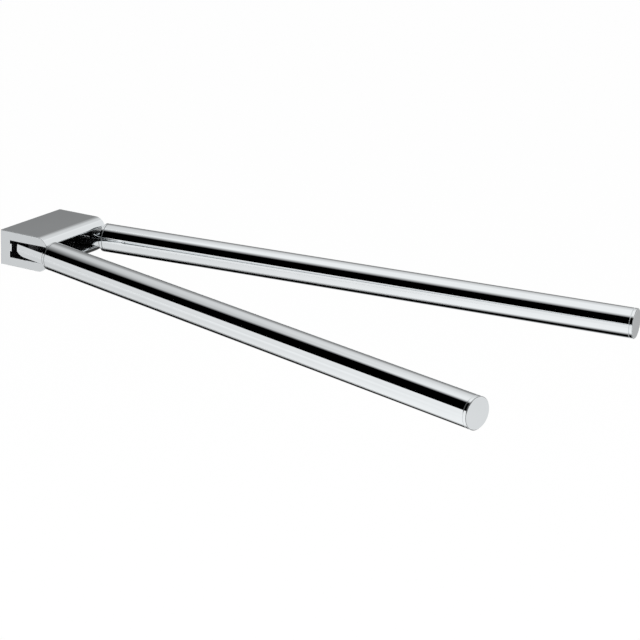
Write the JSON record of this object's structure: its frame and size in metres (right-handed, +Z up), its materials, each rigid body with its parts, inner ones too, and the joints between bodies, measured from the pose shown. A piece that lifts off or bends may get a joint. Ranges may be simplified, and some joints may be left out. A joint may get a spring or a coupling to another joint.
{
  "type": "swivel towel holder",
  "caption": "Chromed wall bracket, an open channel with rounded lips, whose round towel arms swing sideways on upright pivots and end in flat caps.",
  "frame": {"origin": "centre of the bracket's wall face, at the height of the arms' axes", "axes": "+Y into the wall, +Z up, +X along the wall; the arms reach out along -Y"},
  "size_m": [0.2372, 0.4487, 0.0254],
  "materials": {
    "chrome": "polished chrome plating",
    "plate_steel": "zinc plated sheet steel",
    "screw_steel": "black oxide",
    "pin_steel": "turned stainless steel",
    "spring_steel": "blued spring steel",
    "nylon": "moulded black nylon",
    "insert_brass": "turned brass",
    "ring_rubber": "moulded black rubber"
  },
  "bodies": {
    "bracket": {"bracket_body": "chrome", "wall_plate": "plate_steel", "clamp_screws": "screw_steel", "left_pivot_pin": "pin_steel", "right_pivot_pin": "pin_steel", "left_disc_spring": "spring_steel", "right_disc_spring": "spring_steel"},
    "left_arm": {"left_knuckle": "chrome", "left_upper_bush": "nylon", "left_lower_bush": "nylon", "left_tube_insert": "insert_brass", "left_arm_tube": "chrome", "left_end_cap": "chrome", "left_cap_ring": "ring_rubber"},
    "right_arm": {"right_knuckle": "chrome", "right_upper_bush": "nylon", "right_lower_bush": "nylon", "right_tube_insert": "insert_brass", "right_arm_tube": "chrome", "right_end_cap": "chrome", "right_cap_ring": "ring_rubber"}
  },
  "joints": [
    {"name": "left_swing", "type": "hinge", "parent": "bracket", "child": "left_arm", "pos_m": [-0.028, -0.027, 0], "axis": [0, 0, 1], "range_deg": [-74, 16]},
    {"name": "right_swing", "type": "hinge", "parent": "bracket", "child": "right_arm", "pos_m": [0.028, -0.027, 0], "axis": [0, 0, 1], "range_deg": [-6, 84]}
  ]
}
